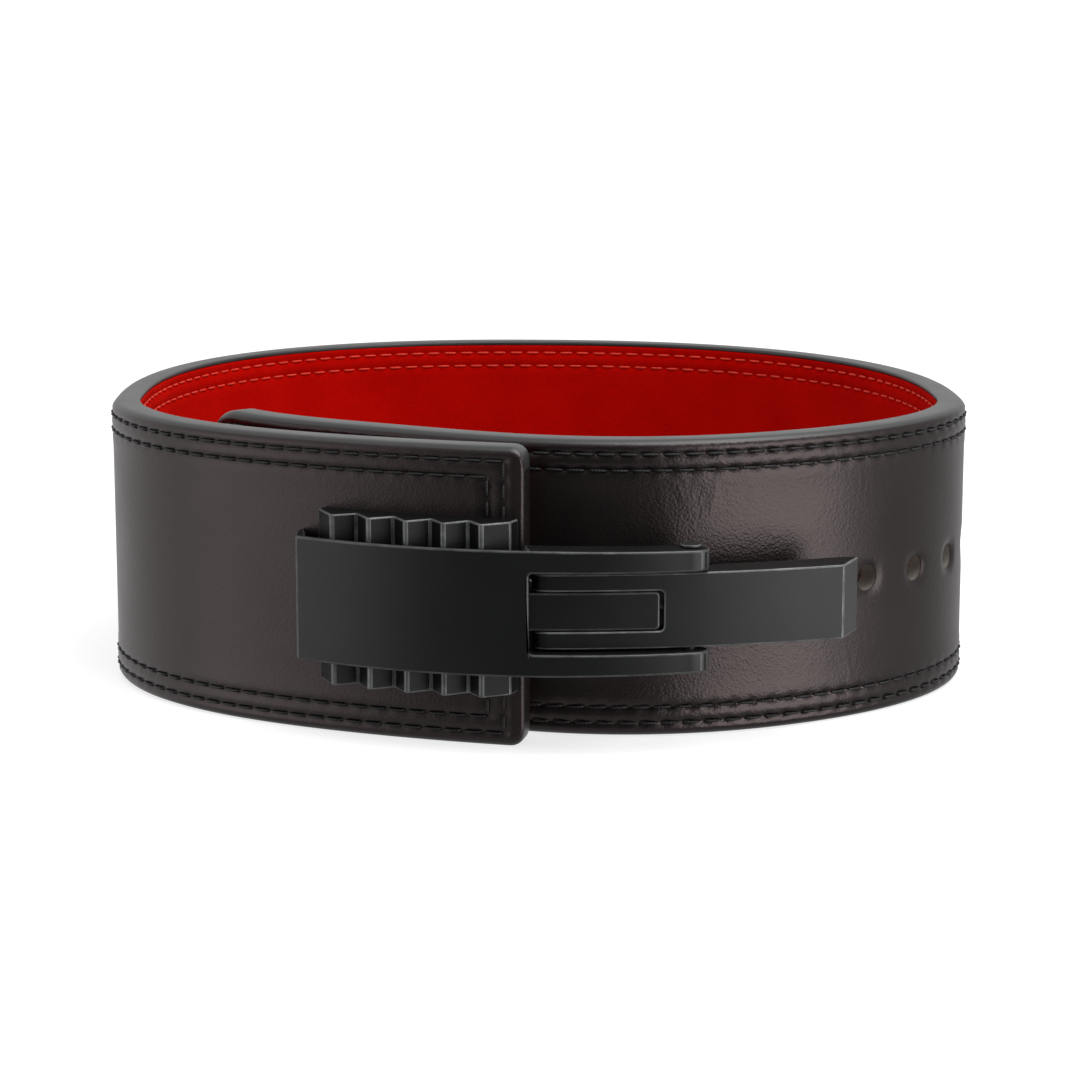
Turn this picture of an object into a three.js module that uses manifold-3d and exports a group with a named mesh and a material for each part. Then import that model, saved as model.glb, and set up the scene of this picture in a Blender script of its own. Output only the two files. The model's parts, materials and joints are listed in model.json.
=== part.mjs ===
import * as THREE from 'three';
import { mergeVertices } from 'three/addons/utils/BufferGeometryUtils.js';
import Module from 'manifold-3d';

const wasm = await Module();
wasm.setup();

// Band sizes in millimetres
const belt_width = 100;
const belt_thickness = 10;
const outer_edge_radius = 3;
const inner_edge_radius = 0.8;
const end_edge_radius = 1.4;
const flap_corner_radius = 5;
const tongue_corner_radius = 18;
const lining_thickness = 1.2;
const lining_gap = 0.3;
const lining_rim = 1.3;
const lining_end_margin = 4;

// Plan of the ring, on the middle line of the band, angles in degrees
const ring_half_width = 148.3;
const ring_back_reach = 157;
const ring_front_reach = 103;
const ring_back_power = 2.35;
const ring_front_power = 1.95;
const ring_middle_x = 1.2;
const ring_middle_y = -11;
const back_bulge = 9;
const back_bulge_angle = 472;
const back_bulge_span = 80;
const tongue_tip_angle = 189;
const tongue_bend_start = 317;
const tongue_bend_span = 120;
const tongue_drift = 32;
const flap_end_angle = 628;
const flap_lift = 9.6;
const flap_lift_span = 50;

// Holes along the band, counted from the tongue tip
const hole_diameter = 9;
const hole_pitch = 24.1;
const hole_count = 12;
const hook_hole_number = 5;
const hardware_height = 48;

// Tooth rack on the flap
const rack_height = 57.5;
const rack_end_margin = 1.7;
const rack_base = 2.6;
const tooth_pitch = 12.3;
const tooth_count = 5;
const tooth_flank = 3.4;
const tooth_land = 1;
const tooth_depth = 5.6;
const tooth_gap = 0.5;
const tooth_tip_clearance = 0.5;
const last_tip_reach = 14.3;
const last_tooth_run = 10.1;

// Buckle frame: cover, end wall and fork arms
const cover_radius = 170;
const cover_thickness = 2.2;
const cover_height = 41.7;
const cover_left_reach = 92.1;
const cover_stand = 14;
const cover_middle_right = 16.9;
const wall_lean = 0.5;
const wall_foot_gap = 0.7;
const end_wall_thickness = 3.4;
const window_left = -15.2;
const window_height = 26.5;
const arm_depth = 11;
const arm_height_at_end = 40.4;
const arm_end_radius = 6.2;
const arm_overlap = 1.4;

// Lever
const lever_radius = 293;
const lever_height = 24.9;
const lever_thickness = 8;
const lever_reach = 101.2;
const lever_slot_height = 13.2;
const lever_slot_end = 41.6;
const lever_wall = 2.2;
const lever_face = 2.6;
const channel_start = 57;
const channel_depth = 13;
const lip_depth = 15;
const lip_lean = 42;
const lip_thickness = 2.4;
const lever_root_radius = 4.3;
const lever_stand = 10.4;
const lever_middle_right = 2.2;
const join_overlap = 2;

// Pins, hook plate and running gaps
const pivot_x = 3;
const pivot_depth = 4.6;
const hinge_x = 50.3;
const hinge_depth = 3.1;
const toggle_pin_radius = 1.6;
const toggle_pin_height = 20;
const hinge_pin_radius = 1.8;
const hinge_head_radius = 3.6;
const hinge_head_height = 0.9;
const pin_clearance = 0.3;
const seat_gap = 0.3;
const hook_face_height = 12.6;
const hook_face_left = -5.6;
const hook_face_right = 40.3;
const hook_face_thickness = 7.4;
const hook_stem_width = 26;
const hook_offset = 2.7;
const hook_face_sink = 0.2;
const hook_foot_length = 30;
const hook_foot_height = 21;
const hook_foot_thickness = 3;
const prong_radius = 4.1;
const prong_length = 10.4;

const RAD = Math.PI / 180;

// Paint and leather
const leather = new THREE.MeshStandardMaterial({ color: 0x17130f, roughness: 0.38, metalness: 0 });
const suede = new THREE.MeshStandardMaterial({ color: 0xb00808, roughness: 0.95, metalness: 0 });
const paint = new THREE.MeshStandardMaterial({ color: 0x26292a, roughness: 0.42, metalness: 0.6 });
const steel = new THREE.MeshStandardMaterial({ color: 0x33383a, roughness: 0.3, metalness: 0.8 });

// Closed mesh to solid and back
function toSolid(geometry) {
  const bare = geometry.index ? geometry.toNonIndexed() : geometry.clone();
  for (const name of Object.keys(bare.attributes)) {
    if (name !== 'position') bare.deleteAttribute(name);
  }
  const merged = mergeVertices(bare, 1e-4);
  return new wasm.Manifold(new wasm.Mesh({
    numProp: 3,
    vertProperties: Float32Array.from(merged.attributes.position.array),
    triVerts: Uint32Array.from(merged.index.array),
  }));
}

function toGeometry(solid) {
  const mesh = solid.getMesh();
  const geometry = new THREE.BufferGeometry();
  const count = mesh.vertProperties.length / mesh.numProp;
  const position = new Float32Array(count * 3);
  for (let i = 0; i < count; i++) {
    for (let k = 0; k < 3; k++) position[3 * i + k] = mesh.vertProperties[mesh.numProp * i + k];
  }
  geometry.setAttribute('position', new THREE.BufferAttribute(position, 3));
  geometry.setIndex(new THREE.BufferAttribute(Uint32Array.from(mesh.triVerts), 1));
  const flat = geometry.toNonIndexed();
  flat.computeVertexNormals();
  return flat;
}

function join(solids) {
  return solids.reduce((sum, next) => sum.add(next));
}

// Plan outline given as [x, y] points, raised from z = low to z = high
function raise(points, low, high) {
  const shape = new THREE.Shape(points.map(([x, y]) => new THREE.Vector2(x, y)));
  const geometry = new THREE.ExtrudeGeometry(shape, { depth: high - low, bevelEnabled: false });
  geometry.translate(0, 0, low);
  return geometry;
}

// Upright round bar
function bar(x, y, radius, low, high, sides = 24) {
  const geometry = new THREE.CylinderGeometry(radius, radius, high - low, sides);
  geometry.rotateX(Math.PI / 2);
  geometry.translate(x, y, (low + high) / 2);
  return geometry;
}

// Smooth step from 0 to 1
function ease(t) {
  const u = Math.min(Math.max(t, 0), 1);
  return u * u * u * (u * (6 * u - 15) + 10);
}

// Middle line of the band: an oval whose ends drift in at the tongue and out at the flap
function ringPoint(angle) {
  const c = Math.cos(angle * RAD);
  const s = Math.sin(angle * RAD);
  const reach = s > 0 ? ring_back_reach : ring_front_reach;
  const power = s > 0 ? ring_back_power : ring_front_power;
  const oval = (Math.abs(c) / ring_half_width) ** power + (Math.abs(s) / reach) ** power;
  const tongue = tongue_drift * ease((tongue_bend_start - angle) / tongue_bend_span);
  const lift = Math.max(0, (angle - flap_end_angle + flap_lift_span) / flap_lift_span);
  const turn = Math.min(1, Math.abs(angle - back_bulge_angle) / back_bulge_span);
  const bulge = back_bulge * Math.cos(turn * Math.PI / 2) ** 2;
  const r = oval ** (-1 / power) - tongue + flap_lift * lift * lift + bulge;
  return [ring_middle_x + r * c, ring_middle_y + r * s];
}

// The same line walked by its own length
const fine = [];
for (let i = 0; i <= 4380; i++) {
  const angle = tongue_tip_angle + (flap_end_angle - tongue_tip_angle) * i / 4380;
  const [x, y] = ringPoint(angle);
  const last = fine[fine.length - 1];
  fine.push({ x, y, s: last ? last.s + Math.hypot(x - last.x, y - last.y) : 0 });
}
const strap_length = fine[fine.length - 1].s;

function walk(s) {
  let low = 0;
  let high = fine.length - 1;
  while (high - low > 1) {
    const mid = (low + high) >> 1;
    if (fine[mid].s > s) high = mid;
    else low = mid;
  }
  const a = fine[Math.max(0, low - 8)];
  const b = fine[Math.min(fine.length - 1, high + 8)];
  const t = (s - fine[low].s) / (fine[high].s - fine[low].s);
  const span = Math.hypot(b.x - a.x, b.y - a.y);
  const tx = (b.x - a.x) / span;
  const ty = (b.y - a.y) / span;
  return {
    x: fine[low].x + (fine[high].x - fine[low].x) * t,
    y: fine[low].y + (fine[high].y - fine[low].y) * t,
    tx, ty, nx: ty, ny: -tx,
  };
}

// Point at length s along the band and w outward from its middle
function place(s, w) {
  const p = walk(s);
  return [p.x + w * p.nx, p.y + w * p.ny];
}

// Length along the band at which its outer face, raised by lift, stands at a given x
function lengthAtX(x, lift, from, to) {
  let low = from;
  let high = to;
  for (let i = 0; i < 50; i++) {
    const mid = (low + high) / 2;
    if (place(mid, belt_thickness / 2 + lift)[0] < x) low = mid;
    else high = mid;
  }
  return (low + high) / 2;
}

// Stations along a band piece: close together at its rounded ends, even between
function stations(first, last, radiusFirst, radiusLast, step) {
  const list = [];
  for (const [end, radius, way] of [[first, radiusFirst, 1], [last, radiusLast, -1]]) {
    for (let i = 0; i <= 6; i++) {
      list.push(end + way * radius * (1 - Math.cos(i * 15 * RAD)));
      if (i > 0 && i <= 3) list.push(end + way * end_edge_radius * (1 - Math.cos(i * 30 * RAD)));
    }
  }
  const from = first + radiusFirst;
  const to = last - radiusLast;
  const count = Math.ceil((to - from) / step);
  for (let i = 1; i < count; i++) list.push(from + (to - from) * i / count);
  list.sort((a, b) => a - b);
  return list.filter((s, i) => i === 0 || s - list[i - 1] > 0.02);
}

// Quarter round drop: how far an end's outline is drawn in at distance d from the end
function roundDrop(d, radius) {
  if (d >= radius) return 0;
  return radius - Math.sqrt(Math.max(0, radius * radius - (radius - d) * (radius - d)));
}

// Sweep a section, given as a function of length, along the band and close both ends
function sweep(list, section) {
  const rows = list.map((s) => {
    const p = walk(Math.min(Math.max(s, 0), strap_length));
    return section(s).map(([w, z]) => [p.x + w * p.nx, p.y + w * p.ny, z]);
  });
  const n = rows[0].length;
  const position = rows.flat(2);
  const index = [];
  for (let i = 0; i + 1 < rows.length; i++) {
    for (let k = 0; k < n; k++) {
      const a = i * n + k;
      const b = i * n + (k + 1) % n;
      index.push(a, a + n, b, b, a + n, b + n);
    }
  }
  for (const [row, flip] of [[0, false], [rows.length - 1, true]]) {
    const centre = [0, 1, 2].map((k) => rows[row].reduce((sum, p) => sum + p[k], 0) / n);
    const c = position.length / 3;
    position.push(...centre);
    for (let k = 0; k < n; k++) {
      const a = row * n + k;
      const b = row * n + (k + 1) % n;
      if (flip) index.push(c, b, a);
      else index.push(c, a, b);
    }
  }
  const geometry = new THREE.BufferGeometry();
  geometry.setAttribute('position', new THREE.Float32BufferAttribute(position, 3));
  geometry.setIndex(index);
  return geometry;
}

// Leather section: rounded outer edges, small inner edges, and a bed for the lining
const half = belt_thickness / 2;
const bed_depth = lining_thickness + lining_gap;
function endDrop(s) {
  const fromTip = roundDrop(s, tongue_corner_radius);
  const fromFlap = roundDrop(strap_length - s, flap_corner_radius);
  return Math.max(fromTip, fromFlap);
}
function leatherSection(s) {
  const edge = roundDrop(Math.min(s, strap_length - s), end_edge_radius);
  const bedFrom = lining_end_margin - lining_gap;
  const bed = s > bedFrom && strap_length - s > bedFrom ? bed_depth : 0;
  const drop = endDrop(s) + edge;
  const low = drop;
  const high = belt_width - drop;
  const out = half - edge;
  const inn = -half + edge;
  const r = outer_edge_radius;
  const q = inner_edge_radius;
  const points = [];
  for (const a of [0, 30, 60, 90]) {
    points.push([out - r + r * Math.sin(a * RAD), low + r - r * Math.cos(a * RAD)]);
  }
  for (const a of [0, 30, 60, 90]) {
    points.push([out - r + r * Math.cos(a * RAD), high - r + r * Math.sin(a * RAD)]);
  }
  points.push([inn + q, high], [inn, high - q]);
  points.push([inn, high - lining_rim], [inn + bed, high - lining_rim]);
  points.push([inn + bed, low + lining_rim], [inn, low + lining_rim]);
  points.push([inn, low + q], [inn + q, low]);
  return points;
}

// Lining section: a flat skin in that bed
function liningSection(s) {
  const drop = endDrop(s) + lining_rim + lining_gap;
  const back = -half + lining_thickness;
  return [[-half, drop], [back, drop], [back, belt_width - drop], [-half, belt_width - drop]];
}

function bandStations() {
  const list = stations(0, strap_length, tongue_corner_radius, flap_corner_radius, 8);
  const bedFrom = lining_end_margin - lining_gap;
  for (const s of [bedFrom, strap_length - bedFrom]) list.push(s - 0.12, s + 0.12);
  return list.sort((a, b) => a - b).filter((s, i, all) => i === 0 || s - all[i - 1] > 0.02);
}

function holes(radius, from, to) {
  const list = [];
  for (let i = 0; i < hole_count; i++) {
    const s = holeAt(i + 1);
    const p = walk(s);
    const length = to - from;
    const drill = new THREE.CylinderGeometry(radius, radius, length, 20);
    drill.rotateX(Math.PI / 2);
    drill.applyMatrix4(new THREE.Matrix4().makeBasis(
      new THREE.Vector3(p.tx, p.ty, 0),
      new THREE.Vector3(0, 0, -1),
      new THREE.Vector3(p.nx, p.ny, 0).negate(),
    ));
    const middle = (from + to) / 2;
    drill.translate(p.x + middle * p.nx, p.y + middle * p.ny, hardware_height);
    list.push(toSolid(drill));
  }
  return join(list);
}

// Hole number n, placed so that the hook's hole stands under the hook's stem
const hook_middle_x = (hook_face_left + hook_face_right) / 2 + hook_offset;
const hook_s = lengthAtX(hook_middle_x, 0, 40, strap_length * 0.3);
function holeAt(n) {
  return hook_s + (n - hook_hole_number) * hole_pitch;
}

const band_cut = holes(hole_diameter / 2, -half - 2, half + 2);
const band_solid = toSolid(sweep(bandStations(), leatherSection)).subtract(band_cut);
const lining_first = lining_end_margin;
const lining_last = strap_length - lining_end_margin;
const lining_list = stations(lining_first, lining_last, tongue_corner_radius - 2, 4, 9);
const lining_solid = toSolid(sweep(lining_list, liningSection)).subtract(band_cut);

// Arcs of the cover and the lever, as [x, y] at a plan x and a depth below the outer face
const flap_end = place(strap_length, half);
const cover_rise = Math.sqrt((cover_radius - cover_stand) ** 2 - cover_middle_right ** 2);
const cover_middle = { x: flap_end[0] + cover_middle_right, y: flap_end[1] + cover_rise };
const lever_middle = { x: pivot_x + lever_middle_right, y: flap_end[1] - lever_stand + lever_radius };
function arcPoint(middle, radius, x) {
  return [x, middle.y - Math.sqrt(radius * radius - (x - middle.x) * (x - middle.x))];
}
const hinge = { x: hinge_x, y: arcPoint(lever_middle, lever_radius, hinge_x)[1] + hinge_depth };
function arc(middle, radius, from, to, steps) {
  const list = [];
  for (let i = 0; i <= steps; i++) {
    list.push(arcPoint(middle, radius, from + (to - from) * i / steps));
  }
  return list;
}
function coverArc(depth, from, to, steps) {
  return arc(cover_middle, cover_radius - depth, from, to, steps);
}
function leverArc(depth, from, to, steps) {
  return arc(lever_middle, lever_radius - depth, from, to, steps);
}
function roundEnd(x, y, radius, from, to, steps) {
  const list = [];
  for (let i = 0; i <= steps; i++) {
    const a = (from + (to - from) * i / steps) * RAD;
    list.push([x + radius * Math.cos(a), y + radius * Math.sin(a)]);
  }
  return list;
}
const low = (height) => hardware_height - height / 2;
const high = (height) => hardware_height + height / 2;
const drill_low = low(cover_height * 2);
const drill_high = high(cover_height * 2);

// Tooth rack: foot bent to the flap, sloping teeth whose tips lie on an arc inside the cover's
const tip_radius = cover_radius - cover_thickness - tooth_tip_clearance;
function rackPoint(x, depth) {
  return arcPoint(cover_middle, tip_radius - depth, x);
}
function rackOutline() {
  const last_tip = flap_end[0] - last_tip_reach;
  const left = last_tip - (tooth_count - 1) * tooth_pitch - tooth_flank;
  const foot_first = lengthAtX(left, seat_gap, strap_length * 0.8, strap_length);
  const foot_last = strap_length - rack_end_margin;
  const points = [];
  for (let i = 0; i <= 10; i++) {
    points.push(place(foot_first + (foot_last - foot_first) * i / 10, half + seat_gap));
  }
  const top = [place(foot_first, half + seat_gap + rack_base)];
  for (let n = 0; n < tooth_count; n++) {
    const tip = last_tip - (tooth_count - 1 - n) * tooth_pitch;
    const run = tooth_pitch - tooth_flank - tooth_gap;
    if (n > 0) top.push(rackPoint(tip - tooth_flank, tooth_depth));
    top.push(rackPoint(tip, 0), rackPoint(tip + tooth_land, 0));
    if (n < tooth_count - 1) top.push(rackPoint(tip + run, tooth_depth));
    else top.push(rackPoint(tip + last_tooth_run, tooth_depth));
  }
  return points.concat(top.reverse());
}
const rack_solid = toSolid(raise(rackOutline(), low(rack_height), high(rack_height)));

// Buckle frame
const cover_left = cover_middle.x - cover_left_reach;
const window_edge = cover_middle.x + window_left;
const wall_top = arcPoint(cover_middle, cover_radius, cover_left);
const wall_s = lengthAtX(cover_left, 0, strap_length * 0.85, strap_length);
const wall_foot = place(wall_s, half + wall_foot_gap);
const wall_foot_right = place(wall_s + end_wall_thickness, half + wall_foot_gap);
function coverOutline() {
  const outer = coverArc(0, cover_left, window_edge - arm_overlap, 15)
    .concat(coverArc(0, window_edge, window_edge, 1).slice(1));
  const right_of_wall = wall_top[0] + end_wall_thickness;
  const inner = coverArc(cover_thickness, window_edge, right_of_wall, 16);
  const foot = [
    [wall_foot_right[0] - wall_lean, wall_foot_right[1]],
    [wall_foot[0] + wall_lean, wall_foot[1]],
  ];
  const mid = [(wall_top[0] + wall_foot[0] - wall_lean) / 2, (wall_top[1] + wall_foot[1]) / 2];
  return outer.concat(inner, foot, [mid]);
}
function armOutline() {
  const outer = coverArc(0, window_edge - arm_overlap, window_edge, 1)
    .concat(coverArc(0, window_edge, hinge.x, 11).slice(1));
  const inner = coverArc(arm_depth, hinge.x, window_edge - arm_overlap, 12);
  const y = (outer[12][1] + inner[0][1]) / 2;
  const r = (inner[0][1] - outer[12][1]) / 2;
  const end = roundEnd(hinge.x, y, r, -78, 78, 6);
  end.forEach((p) => { p[0] = hinge.x + (p[0] - hinge.x) * arm_end_radius / r; });
  return outer.concat(end, inner);
}
const arms = [];
for (const side of [1, -1]) {
  const near = window_height / 2;
  const far = cover_height / 2;
  const from = side > 0 ? hardware_height + near : hardware_height - far;
  const to = side > 0 ? hardware_height + far : hardware_height - near;
  const arm = raise(armOutline(), from, to);
  const spot = arm.attributes.position;
  const run = hinge.x + arm_end_radius - window_edge;
  for (let i = 0; i < spot.count; i++) {
    const z = spot.getZ(i);
    const t = Math.max(0, (spot.getX(i) - window_edge) / run);
    const shrink = t * (cover_height - arm_height_at_end) / 2;
    if (Math.abs(Math.abs(z - hardware_height) - far) < 0.01) spot.setZ(i, z - side * shrink);
  }
  arms.push(toSolid(arm));
}
const cover = toSolid(raise(coverOutline(), low(cover_height), high(cover_height)));
const hinge_hole = toSolid(bar(hinge.x, hinge.y, hinge_pin_radius + pin_clearance, drill_low, drill_high));
const frame_solid = join([cover, ...arms]).subtract(hinge_hole);

// Lever: rails on both sides of an open slot, solid neck, hollow channel and end wall
const pivot = { x: pivot_x, y: arcPoint(lever_middle, lever_radius, pivot_x)[1] + pivot_depth };
function leverOutline(depth, from, to) {
  return leverArc(0, from, to, 14).concat(leverArc(depth, to, from, 14));
}
const rail_end = roundEnd(pivot.x, pivot.y, lever_root_radius, 90, 270, 10);
const face_start = channel_start - join_overlap;
const face_step = (lever_reach - face_start) / 14;
const rail_top = leverArc(0, pivot.x + join_overlap / 2, face_start, 8)
  .concat(leverArc(0, face_start, face_start + face_step, 1).slice(1));
const rail_back = leverArc(lever_thickness, face_start + face_step, pivot.x + join_overlap / 2, 8);
const neck = toSolid(raise(rail_end.concat(rail_top, rail_back), low(lever_height), high(lever_height)));
const slot_cut = toSolid(raise([
  [pivot.x - lever_slot_end, pivot.y - lever_height], [lever_slot_end, pivot.y - lever_height],
  [lever_slot_end, pivot.y + lever_height], [pivot.x - lever_slot_end, pivot.y + lever_height],
], low(lever_slot_height), high(lever_slot_height)));
function leverNormal(x) {
  const dx = x - lever_middle.x;
  const dy = arcPoint(lever_middle, lever_radius, x)[1] - lever_middle.y;
  const span = Math.hypot(dx, dy);
  return [dx / span, dy / span];
}
const tail = arcPoint(lever_middle, lever_radius, lever_reach);
const [tail_x, tail_y] = leverNormal(lever_reach);
function fromTail(along, depth) {
  return [tail[0] - along * -tail_y - depth * tail_x, tail[1] - along * tail_x - depth * tail_y];
}
const face = toSolid(raise(
  leverOutline(lever_face, face_start, lever_reach), low(lever_height), high(lever_height),
));
const lip_out = [Math.sin(lip_lean * RAD), Math.cos(lip_lean * RAD)];
function onLip(down, inward) {
  return fromTail(inward * lip_out[1] - down * lip_out[0], inward * lip_out[0] + down * lip_out[1]);
}
const lip = toSolid(raise(
  [onLip(0, 0), onLip(lip_depth, 0), onLip(lip_depth, lip_thickness), onLip(0, lip_thickness)],
  low(lever_height), high(lever_height),
));
const walls = [];
for (const side of [1, -1]) {
  const edge = hardware_height + side * lever_height / 2;
  const inside = edge - side * lever_wall;
  const outline = leverArc(0, face_start, lever_reach, 14)
    .concat([onLip(lip_depth, 0)], leverArc(channel_depth, lever_reach, face_start, 14));
  outline[outline.length - 1] = arcPoint(lever_middle, lever_radius - lever_thickness, face_start);
  walls.push(toSolid(raise(outline, Math.min(edge, inside), Math.max(edge, inside))));
}
const lever_hinge_hole = toSolid(bar(hinge.x, hinge.y, hinge_pin_radius + pin_clearance, drill_low, drill_high));
const reach_low = hardware_height - toggle_pin_height / 2 - pin_clearance;
const reach_high = hardware_height + toggle_pin_height / 2 + pin_clearance;
const toggle_hole = toSolid(bar(pivot.x, pivot.y, toggle_pin_radius + pin_clearance, reach_low, reach_high));
const lever_solid = join([neck, face, lip, ...walls])
  .subtract(slot_cut).subtract(lever_hinge_hole).subtract(toggle_hole);

// Hook plate: tongue in the slot, stem, foot on the strap and prong in its hole
const hook_face = raise(
  leverArc(hook_face_sink, hook_face_left, hook_face_right, 5)
    .concat(leverArc(hook_face_thickness + hook_face_sink, hook_face_right, hook_face_left, 5)),
  low(hook_face_height), high(hook_face_height),
);
const foot_points = [];
for (let i = 0; i <= 4; i++) {
  foot_points.push(place(hook_s + hook_foot_length * (i / 4 - 0.5), half + seat_gap));
}
for (let i = 4; i >= 0; i--) {
  const s = hook_s + hook_foot_length * (i / 4 - 0.5);
  foot_points.push(place(s, half + seat_gap + hook_foot_thickness));
}
const foot = raise(foot_points, low(hook_foot_height), high(hook_foot_height));
const hook_at = walk(hook_s);
function hookPoint(along, out) {
  return [
    hook_at.x + along * hook_at.tx + out * hook_at.nx,
    hook_at.y + along * hook_at.ty + out * hook_at.ny,
  ];
}
const stem_top = Math.hypot(
  hook_at.x - arcPoint(lever_middle, lever_radius, hook_at.x)[0],
  hook_at.y - arcPoint(lever_middle, lever_radius, hook_at.x)[1],
) - hook_face_thickness / 2;
const stem_base = half + seat_gap + hook_foot_thickness / 2;
const stem = raise([
  hookPoint(-hook_stem_width / 2, stem_base), hookPoint(-hook_stem_width / 2, stem_top),
  hookPoint(hook_stem_width / 2, stem_top), hookPoint(hook_stem_width / 2, stem_base),
].reverse(), low(hook_face_height), high(hook_face_height));
const prong_root = hook_foot_thickness / 3;
const prong = new THREE.CylinderGeometry(prong_radius, prong_radius, prong_length + prong_root, 16);
prong.rotateY(Math.PI / 16);
prong.applyMatrix4(new THREE.Matrix4().makeBasis(
  new THREE.Vector3(hook_at.tx, hook_at.ty, 0),
  new THREE.Vector3(hook_at.nx, hook_at.ny, 0),
  new THREE.Vector3(0, 0, 1),
));
const prong_mid = stem_base + (prong_root - prong_length) / 2;
prong.translate(hookPoint(0, prong_mid)[0], hookPoint(0, prong_mid)[1], hardware_height);
const pin_room = toSolid(bar(pivot.x, pivot.y, toggle_pin_radius + pin_clearance, drill_low, drill_high));
const hook_solid = join([toSolid(hook_face), toSolid(foot), toSolid(stem), toSolid(prong)])
  .subtract(pin_room);

// Pins
const toggle_solid = toSolid(bar(
  pivot.x, pivot.y, toggle_pin_radius,
  hardware_height - toggle_pin_height / 2, hardware_height + toggle_pin_height / 2,
));
const pin_top = high(arm_height_at_end) + pin_clearance;
const head_overlap = hinge_head_height / 3;
const hinge_solid = join([
  toSolid(bar(hinge.x, hinge.y, hinge_pin_radius, low(arm_height_at_end), pin_top + head_overlap)),
  toSolid(bar(hinge.x, hinge.y, hinge_head_radius, pin_top, pin_top + hinge_head_height, 32)),
]);

// Named meshes, moved so that the belt stands on z = 0 about the middle of its plan
const belt = new THREE.Group();
belt.name = 'weightlifting_belt';
const solids = {
  leather_band: [band_solid, leather],
  suede_lining: [lining_solid, suede],
  tooth_rack: [rack_solid, paint],
  buckle_frame: [frame_solid, paint],
  lever: [lever_solid, paint],
  hook_plate: [hook_solid, paint],
  toggle_pin: [toggle_solid, steel],
  hinge_pin: [hinge_solid, steel],
};
const bounds = new THREE.Box3();
for (const [name, [solid, material]] of Object.entries(solids)) {
  const mesh = new THREE.Mesh(toGeometry(solid), material);
  mesh.name = name;
  mesh.geometry.computeBoundingBox();
  bounds.union(mesh.geometry.boundingBox);
  belt.add(mesh);
}
const middle = bounds.getCenter(new THREE.Vector3());
for (const mesh of belt.children) mesh.geometry.translate(-middle.x, -middle.y, -bounds.min.z);

export default belt;
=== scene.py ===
"""Weightlifting belt standing on its edge, with a lever buckle closed over a toothed rack."""
import json
import math

import bmesh
import bpy
import mathutils
import numpy as np
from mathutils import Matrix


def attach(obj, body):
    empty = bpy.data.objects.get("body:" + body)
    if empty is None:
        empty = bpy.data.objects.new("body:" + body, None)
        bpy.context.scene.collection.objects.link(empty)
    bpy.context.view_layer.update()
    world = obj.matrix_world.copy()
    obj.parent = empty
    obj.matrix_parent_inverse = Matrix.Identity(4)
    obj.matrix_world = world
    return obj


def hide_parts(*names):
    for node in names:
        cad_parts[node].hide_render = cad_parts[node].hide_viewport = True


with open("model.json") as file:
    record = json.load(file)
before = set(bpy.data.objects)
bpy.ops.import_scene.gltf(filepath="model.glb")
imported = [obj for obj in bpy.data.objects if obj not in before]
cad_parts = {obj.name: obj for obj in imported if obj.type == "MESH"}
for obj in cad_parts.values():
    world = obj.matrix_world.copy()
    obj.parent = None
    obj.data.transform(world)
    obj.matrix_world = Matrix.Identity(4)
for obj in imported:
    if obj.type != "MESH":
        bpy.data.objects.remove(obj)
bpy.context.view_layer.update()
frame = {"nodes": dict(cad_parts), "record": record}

MM = 0.001

# Band sizes in millimetres
BELT_WIDTH = 100.0
BELT_THICKNESS = 10.0
HALF = BELT_THICKNESS / 2
OUTER_EDGE = 3.0
INNER_EDGE = 0.8
END_EDGE = 1.4
FLAP_CORNER = 5.0
TONGUE_CORNER = 18.0
LINING_THICKNESS = 1.2
LINING_GAP = 0.3
LINING_RIM = 1.3
LINING_END_MARGIN = 4.0

# Plan of the ring
RING_HALF_WIDTH = 148.3
RING_REACH = {"back": 157.0, "front": 103.0}
RING_POWER = {"back": 2.35, "front": 1.95}
RING_MIDDLE = (1.2, -11.0)
BACK_BULGE = 9.0
BACK_BULGE_ANGLE = 472.0
BACK_BULGE_SPAN = 80.0
TONGUE_TIP_ANGLE = 189.0
TONGUE_BEND_START = 317.0
TONGUE_BEND_SPAN = 120.0
TONGUE_DRIFT = 32.0
FLAP_END_ANGLE = 628.0
FLAP_LIFT = 9.6
FLAP_LIFT_SPAN = 50.0

# Holes and sewing; the grid runs in square rings about each hole, which are rounded near it
HOLE_RADIUS = 4.5
LINING_HOLE_RADIUS = 3.7
HOLE_PITCH = 24.1
HOLE_COUNT = 12
HOOK_HOLE = 5
HARDWARE_HEIGHT = 48.0
HOLE_CELLS = 20
STRIP_CELLS = 8
ROW_CELLS = 10
HOLE_RING = 4
EASED_RINGS = 3.5
RING_SQUEEZE = 0.86
HOLE_DIMPLE = 0.75
LINING_DIMPLE = 0.5
DIMPLE_REACH = 0.8
BORE_REACH = 3.0
SEAM_ROWS = (4.6, 10.0)
SEAM_PITCH = 7.0
FLAP_SEAM_SHIFT = 2.0
STITCH_LENGTH = 6.1
THREAD_RADIUS = 0.5
INNER_STITCH_LENGTH = 5.4
INNER_THREAD_RADIUS = 0.42
STITCH_SINK = 0.28
STITCH_RISE = 0.55
THREAD_FLATNESS = 0.85

# Grid lines over the sewing, as distances from the edge, and the widest steps elsewhere
SEAM_LINES = np.array([
    3.5, 4.1, 4.6, 5.1, 5.7, 6.5, 7.3, 8.1, 8.9, 9.5, 10.0, 10.5, 11.1, 12.2, 13.6, 15.4,
])
PLAIN_STEP = 6.0
SEAM_STEP = SEAM_PITCH / 3
LEAST_STEP = 0.03

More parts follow.
